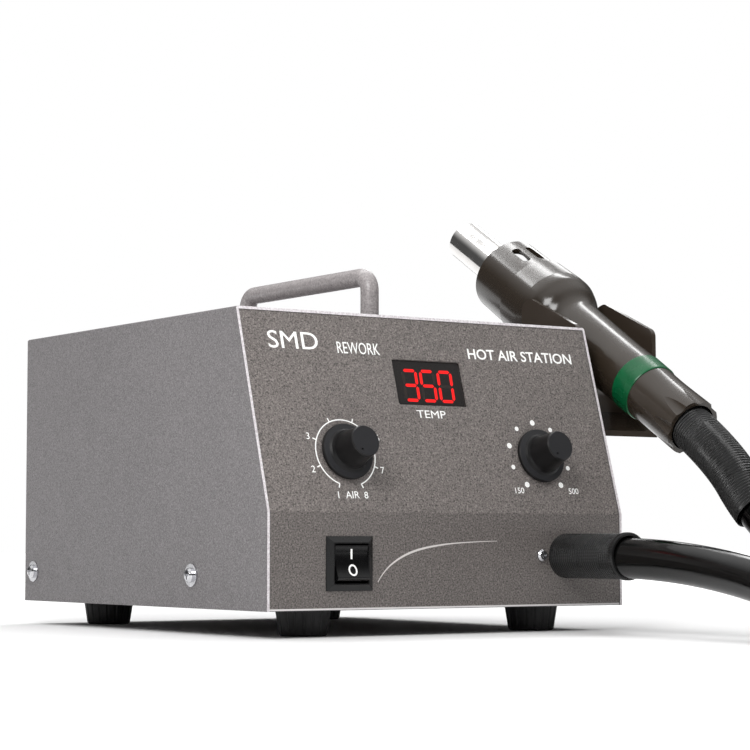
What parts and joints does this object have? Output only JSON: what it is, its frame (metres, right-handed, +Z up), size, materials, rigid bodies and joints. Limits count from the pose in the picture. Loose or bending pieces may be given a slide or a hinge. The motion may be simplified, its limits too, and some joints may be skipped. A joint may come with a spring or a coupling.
{
  "type": "hot air rework station",
  "caption": "Bench hot air rework station: folded metal case with knobs, display, rocker switch and carry handle, and a handset on a hose resting in a side holder.",
  "frame": {"origin": "bottom centre of everything but the hose, on the surface the feet stand on", "axes": "+Z up, -Y out of the front panel, +X to the side with the handset's holder"},
  "size_m": [0.2974, 0.599, 0.2039],
  "materials": {
    "cover": "fine powder coat, grey",
    "panel": "coarse powder coat, grey",
    "tray": "fine powder coat, grey",
    "feet": "matt black",
    "steel": "zinc plated",
    "bar": "textured grey coat",
    "chrome": "bright",
    "window": "smoked",
    "dark_plastic": "satin black",
    "green_board": "solder mask",
    "components": "moulded",
    "metal_can": "rolled",
    "knob": "satin, grey skirt and near-black stem",
    "rocker": "black with white marks",
    "switch_frame": "black",
    "brass": "plain",
    "gland": "black",
    "sleeve": "finely ribbed black",
    "hose": "glossy black",
    "pump_steel": "zinc plated",
    "laminations": "varnished",
    "winding": "taped copper winding",
    "bellows": "matt black",
    "chamber": "cast",
    "sink": "extruded",
    "clear_tube": "grey silicone",
    "holder": "dark brown, glossy",
    "grip": "dark brown, satin gloss",
    "green_ring": "green",
    "ceramic": "unglazed",
    "heater_wire": "resistance wire",
    "mica": "mica"
  },
  "bodies": {
    "case": {"air_pot": "metal_can", "air_tube": "clear_tube", "base_tray": "tray", "board_fixings": "steel", "board_parts": "components", "carry_handle": "bar", "control_board": "green_board", "cover_screws": "chrome", "display_board": "green_board", "display_module": "components", "display_window": "window", "earth_screw": "chrome", "foot_screws": "steel", "front_panel": "panel", "gland_sleeve": "sleeve", "handle_screws": "steel", "handset_holder": "holder", "heat_sink": "sink", "holder_screws": "steel", "hose": "hose", "hose_gland": "gland", "inlet_pins": "brass", "inlet_screws": "steel", "mains_inlet": "dark_plastic", "pot_nuts": "steel", "pump_bellows": "bellows", "pump_chamber": "chamber", "pump_coil": "winding", "pump_core": "laminations", "pump_frame": "pump_steel", "pump_mounts": "bellows", "rear_panel": "tray", "rubber_feet": "feet", "switch_blades": "brass", "switch_housing": "switch_frame", "temp_pot": "metal_can", "top_cover": "cover", "transformer_coil": "winding", "transformer_core": "laminations"},
    "air_knob": {"air_knob": "knob", "air_pot_shaft": "metal_can"},
    "temp_knob": {"temp_knob": "knob", "temp_pot_shaft": "metal_can"},
    "rocker": {"power_rocker": "rocker"},
    "handset": {"handle_shell": "grip", "grip_ring": "green_ring", "vent_cap": "grip", "cap_screws": "steel", "nozzle_pipe": "chrome", "heater_former": "ceramic", "heater_winding": "heater_wire", "mica_liner": "mica", "thermocouple": "heater_wire", "heater_socket": "ceramic", "air_duct": "ceramic", "hose_upper": "hose", "tail_sleeve": "sleeve"},
    "pump_arm": {"pump_arm": "pump_steel"}
  },
  "joints": [
    {"name": "air_knob_turn", "type": "hinge", "parent": "case", "child": "air_knob", "pos_m": [-0.07333, -0.0943, 0.07748], "axis": [0, 0.9575, -0.2884], "range_deg": [0, 292]},
    {"name": "temp_knob_turn", "type": "hinge", "parent": "case", "child": "temp_knob", "pos_m": [0.03017, -0.09421, 0.07777], "axis": [0, 0.9575, -0.2884], "range_deg": [0, 292]},
    {"name": "power_rocker_tilt", "type": "hinge", "parent": "case", "child": "rocker", "pos_m": [-0.07648, -0.10089, 0.0308], "axis": [1, 0, 0], "range_deg": [0, 20]},
    {"name": "handset_lift", "type": "slide", "parent": "case", "child": "handset", "axis": [0, -0.5135, 0.8581], "range_m": [0, 0.04]},
    {"name": "pump_arm_swing", "type": "hinge", "parent": "case", "child": "pump_arm", "pos_m": [-0.03873, 0.04412, 0.0453], "axis": [0, 0, 1], "range_deg": [-1, 1], "stiffness_Nm_per_rad": 0.5}
  ]
}
